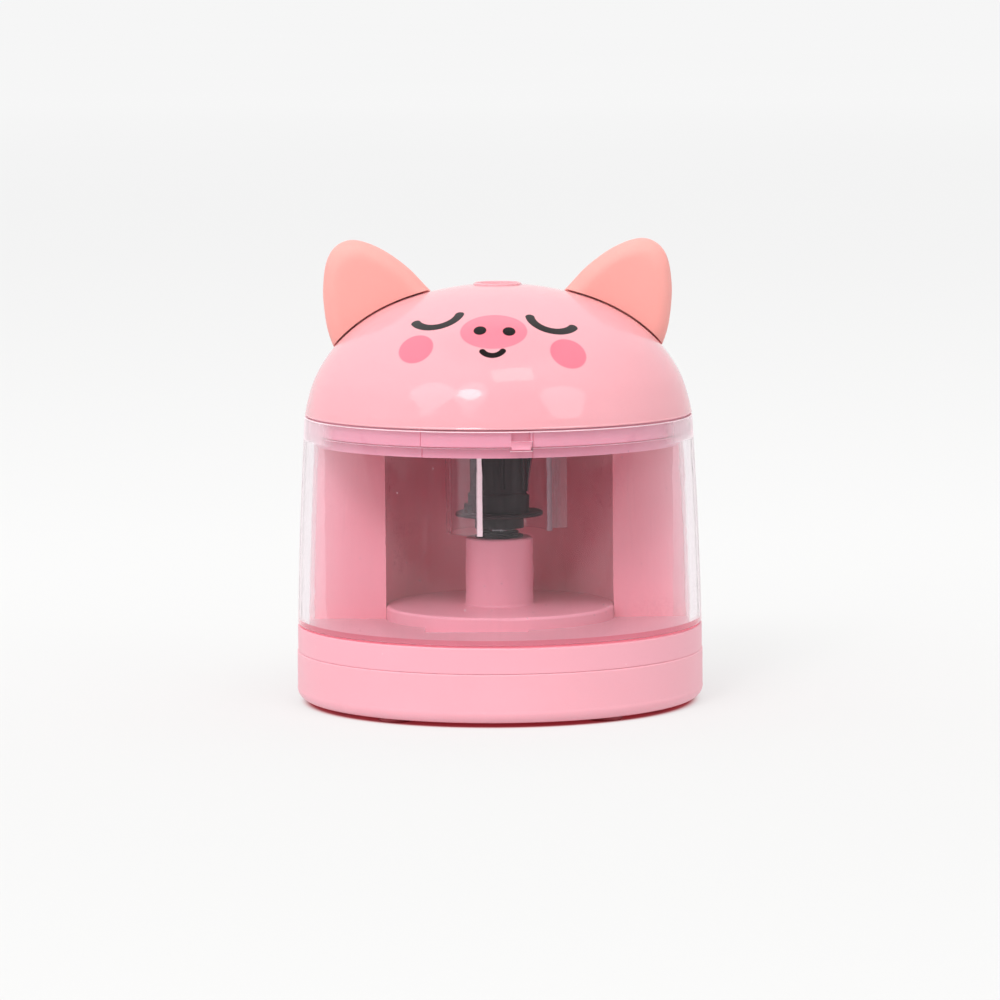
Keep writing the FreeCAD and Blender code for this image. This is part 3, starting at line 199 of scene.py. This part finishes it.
def clear(name, tint, through, rough=0.02, ior=1.49, grain=0.02, milk=0.0, frost_and_painted_cut_light=False, under=None, edge=None):
    """Clear moulded plastic: real refraction for what is looked at, and straight-through light for lamps and diffuse
    light.
    milk is the share of light the plastic scatters; frost frosts the saw-cut faces that stand along the radius and
    paints light on them: white with a painted glow on the left faces, a painted dark shade on the right."""
    t = Tree(name)
    fine = t.noise(140.0, 3.0, 0.6)
    hair = t.noise(60.0, 2.0, 0.5, vec=t.scaled(30.0, 30.0, 1.2))
    r = t.add(t.ramp(fine, 0.45, 0.8, rough, rough + 0.05), t.ramp(hair, 0.62, 0.72, 0.0, 0.03))
    facing = t.new("ShaderNodeLayerWeight", {"Blend": 0.5}).outputs["Facing"]
    if edge is not None:
        tint = t.mix(t.ramp(facing, 0.45, 0.95), tint, edge)
    if under is not None:
        # the floor of the tank is moulded matt
        fx, fy, fz = t.xyz()
        fn = t.new("ShaderNodeSeparateXYZ", {0: t.new("ShaderNodeNewGeometry").outputs["True Normal"]}).outputs[2]
        matt = t.mul(t.ramp(fz, under[0] + 0.0016, under[0] + 0.0012, 0.0, 1.0), t.ramp(t.m("ABSOLUTE", fn), 0.5, 0.8))
        r = t.add(r, t.mul(matt, 0.42))
    b = t.new("ShaderNodeBsdfPrincipled", {"Base Color": tint, "Roughness": r})
    b.inputs["Transmission Weight"].default_value = 1.0 - milk
    b.inputs["IOR"].default_value = ior
    t.put(b.inputs["Normal"], t.bump(t.add(t.mul(fine, 0.4), t.mul(t.noise(24.0, 2.0), 1.0)), grain, 0.0006))
    tr = t.new("ShaderNodeBsdfTransparent", {"Color": through})
    lp = t.new("ShaderNodeLightPath")
    f = t.m("MAXIMUM", lp.outputs["Is Shadow Ray"], lp.outputs["Is Diffuse Ray"])
    last = t.new("ShaderNodeMixShader", {0: f, 1: b.outputs[0], 2: tr.outputs[0]})
    if edge is not None:
        # long paths through the wall scatter a little light, and so do fine upright rubbing marks and dust
        marks = t.noise(2.4, 3.0, 0.65, vec=t.scaled(520.0, 520.0, 9.0))
        v = t.new("ShaderNodeTexVoronoi", {"Vector": t.coords(), "Scale": 420.0, "Randomness": 1.0})
        specks = t.mul(t.ramp(v.outputs["Distance"], 0.06, 0.11, 0.35, 0.0), t.ramp(t.noise(150.0, 1.0), 0.60, 0.64))
        worn = t.add(t.ramp(marks, 0.45, 0.80, 0.0, 0.018), t.mul(specks, 0.6))
        haze = t.new("ShaderNodeBsdfPrincipled", {"Base Color": t.shade((0.97, 0.79, 0.85, 1.0), t.ramp(hair, 0.3, 0.7, 0.93, 1.0)), "Roughness": 0.5})
        # the ledge and the rim of the top band are left as moulded, which is matt
        x, y, z = t.xyz()
        nz = t.new("ShaderNodeSeparateXYZ", {0: t.new("ShaderNodeNewGeometry").outputs["True Normal"]}).outputs[2]
        ledge = t.mul(t.ramp(z, 0.0565, 0.0570), t.ramp(t.m("ABSOLUTE", nz), 0.35, 0.6))
        worn = t.m("MAXIMUM", worn, t.mul(ledge, 0.75))
        # the ends of the top band scatter more
        worn = t.add(worn, t.mul(t.mul(t.ramp(z, 0.0565, 0.0570), t.ramp(t.m("ABSOLUTE", x), 0.034, 0.038)), 0.35))
        last = t.new("ShaderNodeMixShader", {0: t.add(t.ramp(facing, 0.72, 1.0, 0.0, 0.5), worn), 1: last.outputs[0], 2: haze.outputs[0]})
    if under is not None:
        x, y, z = t.xyz()
        n = t.new("ShaderNodeNewGeometry").outputs["True Normal"]
        ns = t.new("ShaderNodeSeparateXYZ", {0: n})
        low = t.mul(t.ramp(z, under[0], under[0] + 0.0003, 1.0, 0.0), t.ramp(t.m("ABSOLUTE", ns.outputs[2]), 0.5, 0.8, 0.0, 1.0))
        w = t.new("ShaderNodeBsdfPrincipled", {"Base Color": t.shade(under[1], t.ramp(fine, 0.2, 0.8, 0.94, 1.0)), "Roughness": 0.5})
        last = t.new("ShaderNodeMixShader", {0: t.mul(low, 0.70), 1: last.outputs[0], 2: w.outputs[0]})
    if frost_and_painted_cut_light:
        x, y, z = t.xyz()
        n = t.new("ShaderNodeNewGeometry").outputs["True Normal"]
        ns = t.new("ShaderNodeSeparateXYZ", {0: n})
        rad = t.m("SQRT", t.add(t.mul(x, x), t.mul(y, y)))
        dot = t.m("ABSOLUTE", t.m("DIVIDE", t.add(t.mul(x, ns.outputs[0]), t.mul(y, ns.outputs[1])), rad))
        side = t.mul(t.ramp(dot, 0.35, 0.6, 1.0, 0.0), t.ramp(t.m("ABSOLUTE", ns.outputs[2]), 0.4, 0.6, 1.0, 0.0))
        rough_cut = t.noise(900.0, 2.0, 0.6)
        left = t.m("LESS_THAN", x, 0.0)
        # painted light and shade on the cut faces: white on the left, a dark painted shade on the right
        cut_lit_left_shaded_right = t.mix(left, (0.34, 0.24, 0.27, 1.0), (0.97, 0.94, 0.95, 1.0))
        w = t.new("ShaderNodeBsdfPrincipled", {"Base Color": t.shade(cut_lit_left_shaded_right, t.ramp(rough_cut, 0.2, 0.8, 0.9, 1.0)), "Roughness": 0.5})
        # painted glow on the left cut faces
        w.inputs["Emission Color"].default_value = (1.0, 0.93, 0.95, 1.0)
        t.put(w.inputs["Emission Strength"], t.mul(left, 0.18))
        # the bead at the front edge of the opening is frosted all over, the fin on the right only in fine upright lines
        # and along its cut; on the right the frost is painted dark, as shade
        bead = t.mul(t.mul(t.ramp(x, -0.00462, -0.00452), t.ramp(x, -0.00350, -0.00340, 1.0, 0.0)), t.m("LESS_THAN", y, -0.009))
        lines = t.mul(t.ramp(t.noise(2.2, 2.0, 0.6, vec=t.scaled(420.0, 420.0, 6.0)), 0.35, 0.65, 0.02, 0.30), t.ramp(x, 0.0122, 0.0136, 1.0, 0.1))
        cut = t.mul(t.ramp(y, -0.00060, -0.00050), t.ramp(y, -0.00018, -0.00008, 1.0, 0.0))
        lines = t.m("MAXIMUM", lines, t.mul(cut, 0.85))
        amount = t.m("MAXIMUM", bead, t.mul(side, t.add(t.mul(left, 0.85), t.mul(t.sub(1.0, left), lines))))
        last = t.new("ShaderNodeMixShader", {0: amount, 1: last.outputs[0], 2: w.outputs[0]})
    t.nt.links.new(last.outputs[0], t.out.inputs[0])
    return t.mat


# ---------------------------------------------------------------- printed face on the dome
TILT = math.radians(46.0)          # the print lies across the front of the dome, which leans back by about this


def face_print(t, col, r):
    x, y, z = t.xyz()
    w = t.add(t.mul(y, math.sin(TILT)), t.mul(z, math.cos(TILT)))
    x = t.mul(x, 1000.0)
    w = t.mul(w, 1000.0)
    front = t.m("LESS_THAN", y, -0.004)

    def ellipse(cx, cw, a, b, deg=0.0, soft=0.05):
        """1 inside an ellipse, 0 outside, with an edge about soft wide in its own radius"""
        c, s = math.cos(math.radians(deg)), math.sin(math.radians(deg))
        dx, dw = t.sub(x, cx), t.sub(w, cw)
        u = t.mul(t.add(t.mul(dx, c), t.mul(dw, s)), 1.0 / a)
        v = t.mul(t.sub(t.mul(dw, c), t.mul(dx, s)), 1.0 / b)
        d = t.m("SQRT", t.add(t.mul(u, u), t.mul(v, v)))
        return t.mul(t.ramp(d, 1.0 - soft, 1.0 + soft, 1.0, 0.0), front)

    def arc(cx, cw, radius, a0, a1, width, soft=0.09):
        """1 on a round-ended stroke along a circular arc, from angle a0 to a1 in degrees"""
        mid = math.radians((a0 + a1) / 2.0)
        half = math.radians((a1 - a0) / 2.0)
        dx, dw = t.sub(x, cx), t.sub(w, cw)
        # turned so that the arc's middle lies along +p
        p = t.add(t.mul(dx, math.cos(mid)), t.mul(dw, math.sin(mid)))
        q = t.m("ABSOLUTE", t.sub(t.mul(dw, math.cos(mid)), t.mul(dx, math.sin(mid))))
        rad = t.m("SQRT", t.add(t.mul(p, p), t.mul(q, q)))
        on = t.m("ABSOLUTE", t.sub(rad, radius))
        ex, ey = radius * math.cos(half), radius * math.sin(half)
        end = t.m("SQRT", t.add(t.m("POWER", t.sub(p, ex), 2.0), t.m("POWER", t.sub(q, ey), 2.0)))
        inside = t.m("LESS_THAN", t.m("ARCTAN2", q, p), half)
        d = t.add(t.mul(on, inside), t.mul(end, t.sub(1.0, inside)))
        return t.mul(t.ramp(d, width / 2.0 - soft, width / 2.0 + soft, 1.0, 0.0), front)

    blush = srgb(248, 116, 135)
    snout = srgb(244, 127, 144)
    ink = srgb(20, 12, 14)
    for cx, cw, a, b, deg in FACE["cheeks"]:
        col = t.mix(ellipse(cx, cw, a, b, deg, 0.06), col, blush)
    for cx, cw, a, b, deg in FACE["snout"]:
        col = t.mix(ellipse(cx, cw, a, b, deg, 0.03), col, snout)
    dark = None
    for cx, cw, a, b, deg in FACE["nostrils"]:
        e = ellipse(cx, cw, a, b, deg, 0.08)
        dark = e if dark is None else t.m("MAXIMUM", dark, e)
    for cx, cw, radius, a0, a1, width in FACE["strokes"]:
        e = arc(cx, cw, radius, a0, a1, width)
        dark = e if dark is None else t.m("MAXIMUM", dark, e)
    col = t.mix(dark, col, ink)
    r = t.add(r, t.mul(dark, 0.16))
    return col, r


def panel_shade(t, col, r):
    """painted shade: the front panels are painted a deeper, darker pink towards the round chamber, high up, where shade
    falls on them; the outer shell is as light as the base
    """
    x, y, z = t.xyz()
    rad = t.m("SQRT", t.add(t.mul(x, x), t.mul(y, y)))
    col = t.mix(t.mul(t.ramp(y, 0.0024, 0.0029), t.ramp(rad, 0.0375, 0.0380)), col, PINK)
    # the painted shade, strongest near the chamber and high up, on the front faces only
    k = t.mul(t.ramp(t.m("ABSOLUTE", x), 0.026, 0.037, 1.0, 0.0), t.ramp(z, 0.024, 0.046))
    k = t.mul(k, t.mul(t.m("LESS_THAN", y, -0.0026), t.ramp(t.noise(60.0, 2.0, 0.5, vec=t.scaled(1.0, 1.0, 0.35)), 0.3, 0.7, 0.7, 1.0)))
    return t.mix(t.mul(k, 0.55), col, srgb(214, 120, 132)), r


FACE = {
    "cheeks": [(-17.05, 33.4, 3.55, 4.05, 20.0), (14.6, 31.0, 3.75, 3.95, -20.0)],
    "snout": [(-0.84, 35.75, 7.0, 5.5, 0.0)],
    "nostrils": [(-3.7, 35.9, 1.35, 1.4, 0.0), (2.35, 35.45, 1.35, 1.4, 0.0)],
    "strokes": [(-12.6, 43.7, 4.84, 200.0, 344.0, 1.95), (11.5, 41.6, 4.8, 188.0, 332.0, 1.95), (-1.1, 31.0, 2.5, 212.0, 328.0, 1.35)],
}

# ---------------------------------------------------------------- colours
PINK = srgb(235, 166, 179)
PINK_IN = srgb(245, 163, 177)
DOME = srgb(228, 161, 170)

mats = {
    "dome": plastic("pink_gloss_printed", DOME, rough=0.075, grain=0.0, vary=0.018, print_and_painted_shade=face_print, sss=0.15),
    "guide": plastic("pink_gloss", DOME, rough=0.10, grain=0.01, vary=0.02, sss=0.15),
    "collar": plastic("pink_collar", srgb(236, 163, 182), rough=0.22, grain=0.02, vary=0.03, sss=0.2, painted_glow=0.10),
    "body": plastic("pink_housing", PINK_IN, rough=0.3, grain=0.015, vary=0.03, dust=0.55, print_and_painted_shade=panel_shade),
    "base": plastic("pink_base", PINK, rough=0.38, grain=0.08, vary=0.02, sss=0.15, painted_glow=0.10),
    "deck": plastic("pink_deck", srgb(234, 164, 178), rough=0.38, grain=0.05, vary=0.025, dust=0.5, painted_glow=0.10, rim=(0.0168, 0.0390, 0.0429, 0.34)),
    "ear": plastic("coral_ear", srgb(238, 162, 155), rough=0.55, grain=0.10, vary=0.02, sss=0.15),
    "black": plastic("black_moulding", srgb(30, 24, 27), rough=0.48, grain=0.06, vary=0.12, spec=0.3),
    "blade": metal("blade_steel", srgb(190, 192, 196), 0.2, "z"),
    "screw": metal("zinc_steel", srgb(176, 178, 180), 0.35, "round"),
    "shaft": metal("ground_steel", srgb(188, 189, 192), 0.22, "z"),
    "spring": metal("spring_steel", srgb(150, 150, 152), 0.3, "round"),
    "bush": metal("sintered_bush", srgb(128, 122, 116), 0.55, "round", 1.0, 0.1),
    "gear": plastic("natural_acetal", srgb(232, 229, 218), rough=0.4, grain=0.03, vary=0.03),
    "plate": plastic("offwhite_plastic", srgb(222, 219, 212), rough=0.42, grain=0.05, vary=0.03),
    "can": metal("drawn_can", srgb(172, 174, 178), 0.33, "z"),
    "cap": plastic("white_nylon", srgb(226, 226, 222), rough=0.45, grain=0.04, vary=0.03),
    "rotor": metal("laminated_rotor", srgb(120, 112, 104), 0.5, "round", 1.5, 0.1),
    "contact": metal("nickelled_brass", srgb(206, 198, 170), 0.28, "x"),
    "cell": plastic("cell_wrap", srgb(74, 104, 84), rough=0.3, grain=0.02, vary=0.05),
    "foot": plastic("dark_rubber", srgb(150, 62, 70), rough=0.75, grain=0.2, vary=0.06),
    "tank": clear("clear_tank", (0.975, 0.925, 0.955, 1.0), (0.960, 0.925, 0.945, 1.0), 0.015, grain=0.015, under=(0.0174, (0.70, 0.135, 0.205, 1.0)), edge=(0.94, 0.76, 0.82, 1.0)),
    "guard": clear("clear_guard", (0.90, 0.84, 0.86, 1.0), (0.86, 0.80, 0.82, 1.0), 0.03, grain=0.03, milk=0.03, frost_and_painted_cut_light=True),
}
by_node = {
    "top_dome": "dome", "pencil_guide": "guide", "top_collar": "collar", "rear_housing": "body", "base_deck": "deck", "base_tray": "base", "battery_door": "base",
    "left_ear": "ear", "right_ear": "ear", "shavings_tank": "tank", "cutter_guard": "guard", "cutter_holder": "black", "cutter_blade": "blade",
    "blade_screw": "screw", "base_screws": "screw", "housing_screws": "screw", "collar_screws": "screw", "dome_screws": "screw", "gearbox_screws": "screw",
    "drive_shaft": "shaft", "compound_axle": "shaft", "return_spring": "spring", "upper_bush": "black", "lower_bush": "bush",
    "final_gear": "gear", "compound_gear": "gear", "motor_pinion": "gear", "gearbox_plate": "plate", "switch_base": "plate",
    "motor_can": "can", "motor_end_cap": "cap", "motor_shaft": "rotor", "motor_terminals": "contact", "switch_fixed_leaf": "contact",
    "switch_moving_leaf": "contact", "switch_clip": "contact", "bridge_contact": "contact", "positive_contact": "contact", "negative_contact": "contact",
    "aa_cell_left": "cell", "aa_cell_right": "cell", "rubber_feet": "foot",
}
for name, ob in nodes.items():
    ob.data.materials.clear()
    ob.data.materials.append(mats[by_node[name]])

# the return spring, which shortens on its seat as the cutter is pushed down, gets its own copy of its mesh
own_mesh(nodes["return_spring"])

# ---------------------------------------------------------------- floor, light, camera
me = bpy.data.meshes.new("floor")
bm = bmesh.new()
bmesh.ops.create_circle(bm, cap_ends=True, segments=96, radius=40.0)
bm.to_mesh(me)
bm.free()
floor = bpy.data.objects.new("floor", me)
sc.collection.objects.link(floor)
t = Tree("studio_floor")
shade = t.ramp(t.noise(1.3, 3.0), 0.2, 0.8, 0.985, 1.0)
x, y, z = t.xyz()
outside_painted_shadow = t.ramp(t.m("SQRT", t.add(t.mul(x, x), t.mul(y, y))), 0.0408, 0.0432)      # painted shadow: under the base the floor is darker and dark red, with its emission nearly off, standing in for the shade and pink bounce light in the gap under the base
# darker in front, where mirror reflections in the clear tank would see it, but not to the eye
dim = t.m("MAXIMUM", t.ramp(y, -0.60, -0.30, 0.22, 1.0), t.new("ShaderNodeLightPath").outputs["Is Camera Ray"])
near = t.add(t.mul(dim, t.ramp(y, -0.25, 0.35, 0.87, 1.0)), t.ramp(y, 0.4, 5.0, 0.0, 0.12, smooth=False))
b = t.principled(Base_Color=t.shade(t.mix(outside_painted_shadow, (0.50, 0.20, 0.22, 1.0), (0.26, 0.26, 0.26, 1.0)), shade), Roughness=0.8)
b.inputs["Specular IOR Level"].default_value = 0.0
# the faint dark red emission under the base is painted bounce light in that gap
t.put(b.inputs["Emission Color"], t.mix(outside_painted_shadow, (0.12, 0.009, 0.013, 1.0), (1.0, 1.0, 1.0, 1.0)))
t.put(b.inputs["Emission Strength"], t.mul(t.ramp(outside_painted_shadow, 0.0, 1.0, 1.0, 0.635, smooth=False), near))
me.materials.append(t.mat)

world = bpy.data.worlds.new("studio")
sc.world = world
world.use_nodes = True
wn = world.node_tree
wn.nodes.clear()
wo = wn.nodes.new("ShaderNodeOutputWorld")
wb = wn.nodes.new("ShaderNodeBackground")
tc = wn.nodes.new("ShaderNodeTexCoord")
sep = wn.nodes.new("ShaderNodeSeparateXYZ")
wn.links.new(tc.outputs["Generated"], sep.inputs[0])
# a white sweep behind and beside the object, and a dimmer room in front of it
rmp = wn.nodes.new("ShaderNodeMapRange")
rmp.interpolation_type = "SMOOTHSTEP"
wn.links.new(sep.outputs[1], rmp.inputs[0])
rmp.inputs[1].default_value = -0.88
rmp.inputs[2].default_value = -0.25
rmp.inputs[3].default_value = 0.28
rmp.inputs[4].default_value = 0.92
# the dim ceiling above the lamps, as mirror reflections see it
up = wn.nodes.new("ShaderNodeMapRange")
up.interpolation_type = "SMOOTHSTEP"
wn.links.new(sep.outputs[2], up.inputs[0])
up.inputs[1].default_value = 0.88
up.inputs[2].default_value = 0.985
up.inputs[3].default_value = 0.0
up.inputs[4].default_value = 1.0
lpw = wn.nodes.new("ShaderNodeLightPath")
k = wn.nodes.new("ShaderNodeMath")
k.operation = "MULTIPLY"
wn.links.new(up.outputs[0], k.inputs[0])
wn.links.new(lpw.outputs["Is Glossy Ray"], k.inputs[1])
blend = wn.nodes.new("ShaderNodeMix")
blend.data_type = "FLOAT"
wn.links.new(k.outputs[0], blend.inputs[0])
wn.links.new(rmp.outputs[0], blend.inputs[2])
blend.inputs[3].default_value = 0.25
wn.links.new(blend.outputs[0], wb.inputs["Strength"])
wb.inputs["Color"].default_value = (1.0, 1.0, 1.0, 1.0)
wn.links.new(wb.outputs[0], wo.inputs[0])


def lamp(name, azimuth, elevation, dist, size, radiance, shape="DISK", size_y=None, aim=(0.0, 0.0, 0.05), color=(1, 1, 1)):
    """A soft lamp that looks at the object: azimuth 0 is straight in front of it, positive to the right."""
    a, e = math.radians(azimuth), math.radians(elevation)
    pos = Vector((math.sin(a) * math.cos(e), -math.cos(a) * math.cos(e), math.sin(e))) * dist + Vector(aim)
    l = bpy.data.lights.new(name, "AREA")
    l.shape = shape
    l.size = size
    area = math.pi * size * size / 4.0
    if shape in ("RECTANGLE", "ELLIPSE"):
        l.size_y = size_y
        area = size * size_y * (math.pi / 4.0 if shape == "ELLIPSE" else 1.0)
    l.energy = radiance * math.pi * area
    l.color = color
    o = bpy.data.objects.new(name, l)
    sc.collection.objects.link(o)
    o.matrix_world = Matrix.Translation(pos) @ (Vector(aim) - pos).to_track_quat("-Z", "Y").to_matrix().to_4x4()
    o.visible_camera = False
    o.visible_transmission = False
    return o


key = lamp("key", -20.0, 40.0, 2.0, 0.5, 10.3)
key.visible_glossy = False
lamp("key_reflector", -20.0, 39.0, 1.8, 0.40, 6.5)
lamp("key_bounce", -19.0, 39.0, 1.9, 0.62, 1.6, "ELLIPSE", 0.95)
top = lamp("softbox_top", -4.0, 64.0, 2.0, 1.5, 2.25, "RECTANGLE", 1.3, color=(1.0, 1.0, 0.95))
top.visible_glossy = False
lamp("umbrella_left", -46.0, 36.0, 2.2, 1.0, 2.0)
lamp("umbrella_right", 44.0, 32.0, 2.2, 1.0, 1.8)
lamp("small_window", 14.0, 60.0, 1.8, 0.60, 2.4, "RECTANGLE", 0.34, color=(1.0, 0.93, 0.82))
fill = lamp("fill_low", -29.0, 14.0, 2.4, 1.0, 3.2)
fill.visible_glossy = False

cam = bpy.data.cameras.new("camera")
cam.sensor_width = 36.0
cam.sensor_height = 36.0
cam.sensor_fit = "HORIZONTAL"
CAM_D, CAM_H, CAM_Z, CAM_ROLL = 1.050, 0.1546, 0.04356, math.radians(0.415)
cam.lens = 36.0 * math.hypot(CAM_D, CAM_H - CAM_Z) / 0.2146
cam.shift_x = (500.0 - 498.96) / 1000.0
cam.shift_y = (497.4 - 500.0) / 1000.0
cam.clip_start = 0.01
cam.clip_end = 200.0
co = bpy.data.objects.new("camera", cam)
sc.collection.objects.link(co)
cpos = Vector((0.0, -CAM_D, CAM_H))
look = (Vector((0.0, 0.0, CAM_Z)) - cpos).to_track_quat("-Z", "Y").to_matrix().to_4x4()
co.matrix_world = Matrix.Translation(cpos) @ look @ Matrix.Rotation(-CAM_ROLL, 4, "Z")
sc.camera = co
